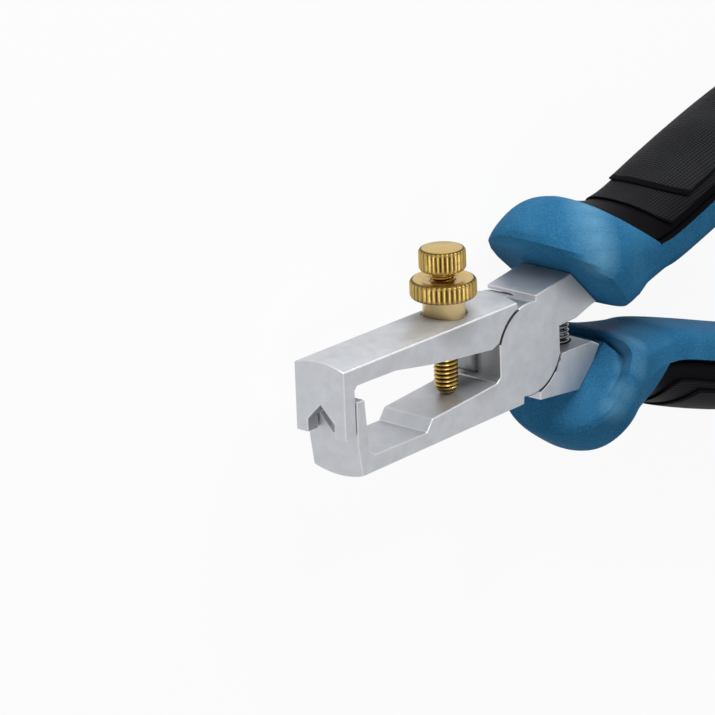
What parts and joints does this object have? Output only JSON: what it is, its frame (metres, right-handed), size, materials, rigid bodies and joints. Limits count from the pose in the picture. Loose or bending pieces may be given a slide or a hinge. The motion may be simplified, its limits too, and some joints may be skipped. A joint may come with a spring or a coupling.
{
  "type": "wire stripper",
  "caption": "Plier-type wire stripper: crossed levers, V-notched jaws round a window, knurled adjusting screw with lock nut, cushioned grips.",
  "frame": {"origin": "on the pivot axis, in the back face of the joint", "axes": "X from the jaw tip (-) towards the handles (+), +Y towards the adjusting screw's head, +Z along the pivot from the back face to the front; the tool lies on its side"},
  "size_m": [0.1614, 0.0668, 0.0248],
  "materials": {
    "steel": "satin, ground",
    "spring_steel": "dark drawn wire",
    "brass": "turned and knurled",
    "blue_grip": "fine matte grain",
    "black_grip": "smooth matte",
    "textured_grip": "fine dot texture"
  },
  "bodies": {
    "upper_jaw": {"upper_jaw_lever": "steel", "opening_spring": "spring_steel", "lower_grip_shell": "blue_grip", "lower_grip_cover": "black_grip", "lower_grip_border": "textured_grip", "lower_palm_pad": "textured_grip"},
    "lower_jaw": {"lower_jaw_lever": "steel", "pivot_rivet": "steel", "upper_grip_shell": "blue_grip", "upper_grip_cover": "black_grip", "upper_grip_border": "textured_grip", "upper_palm_pad": "textured_grip"},
    "lock_nut": {"lock_nut": "brass"},
    "adjusting_screw": {"adjusting_screw": "brass"}
  },
  "joints": [
    {"name": "jaw_opening", "type": "hinge", "parent": "upper_jaw", "child": "lower_jaw", "pos_m": [0, 0, 0], "axis": [0, 0, 1], "range_deg": [0, 18], "stiffness_Nm_per_rad": 0.3, "springref_deg": 25.78, "deforming": ["opening_spring"]},
    {"name": "lock_nut_turn", "type": "hinge", "parent": "upper_jaw", "child": "lock_nut", "pos_m": [-0.0151, 0.0125, 0.0052], "axis": [0, 1, 0], "range_deg": [0, 2160]},
    {"name": "screw_travel", "type": "slide", "parent": "lock_nut", "child": "adjusting_screw", "axis": [0, 1, 0], "range_m": [0, 0.0042]}
  ],
  "couplings": [
    {"joint": "lock_nut_turn", "follows": "screw_travel", "rad_per_m": 8976}
  ]
}
